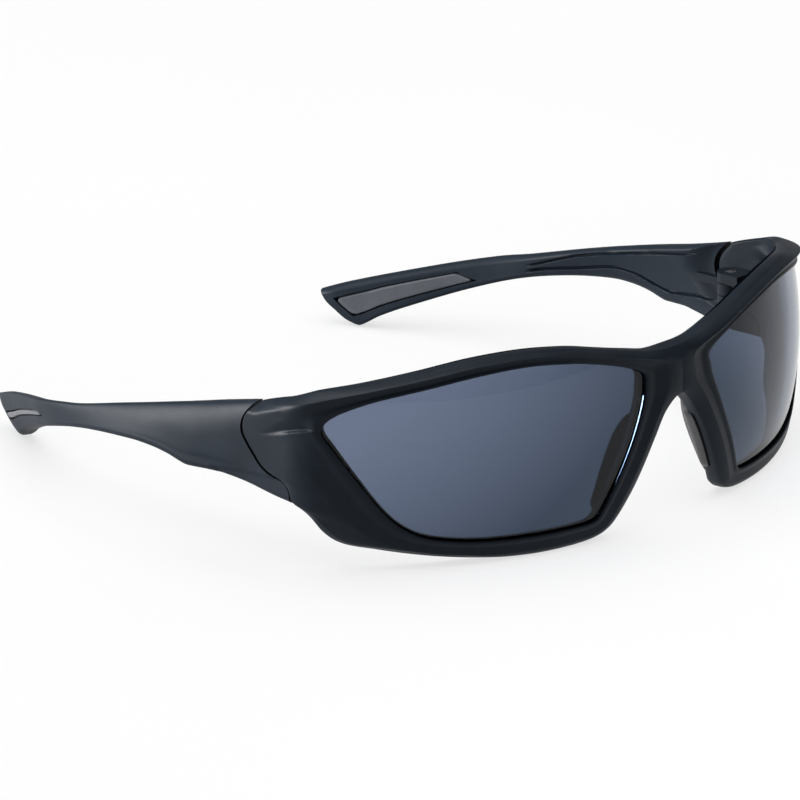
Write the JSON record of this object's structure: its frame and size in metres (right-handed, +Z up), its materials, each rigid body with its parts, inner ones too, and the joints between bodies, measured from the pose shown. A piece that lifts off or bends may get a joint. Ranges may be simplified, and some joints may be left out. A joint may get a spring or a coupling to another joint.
{
  "type": "safety glasses",
  "caption": "Wrap-around safety glasses: full-rim nylon front with tinted lenses, soft nose pads and folding temples with soft grips.",
  "frame": {"origin": "middle of the resting box, on the surface that the open glasses lie on", "axes": "+X towards the wearer's left, -Y the way the wearer looks, +Z up"},
  "size_m": [0.1512, 0.1563, 0.0442],
  "materials": {
    "frame": "satin blue-black nylon",
    "temple": "satin blue-black nylon",
    "lens": "smoke polycarbonate, hard coated",
    "nose_pad": "matt soft-touch rubber",
    "hinge": "satin glass-filled nylon",
    "screw": "turned steel",
    "inner_grip": "matt grey rubber",
    "outer_grip": "matt light grey rubber"
  },
  "bodies": {
    "front": {"front_frame": "frame", "right_lens": "lens", "left_lens": "lens", "right_nose_pad": "nose_pad", "left_nose_pad": "nose_pad", "right_front_hinge_leaf": "hinge", "left_front_hinge_leaf": "hinge", "right_hinge_screw": "screw", "left_hinge_screw": "screw"},
    "right_arm": {"right_temple": "temple", "right_temple_hinge_leaf": "hinge", "right_inner_grip": "inner_grip", "right_outer_grip": "outer_grip"},
    "left_arm": {"left_temple": "temple", "left_temple_hinge_leaf": "hinge", "left_inner_grip": "inner_grip", "left_outer_grip": "outer_grip"}
  },
  "joints": [
    {"name": "right_fold", "type": "hinge", "parent": "front", "child": "right_arm", "pos_m": [-0.0681, -0.0302, 0.0252], "axis": [0, 0, -1], "range_deg": [0, 92]},
    {"name": "left_fold", "type": "hinge", "parent": "front", "child": "left_arm", "pos_m": [0.0681, -0.0302, 0.0252], "axis": [0, 0, 1], "range_deg": [0, 75]}
  ]
}
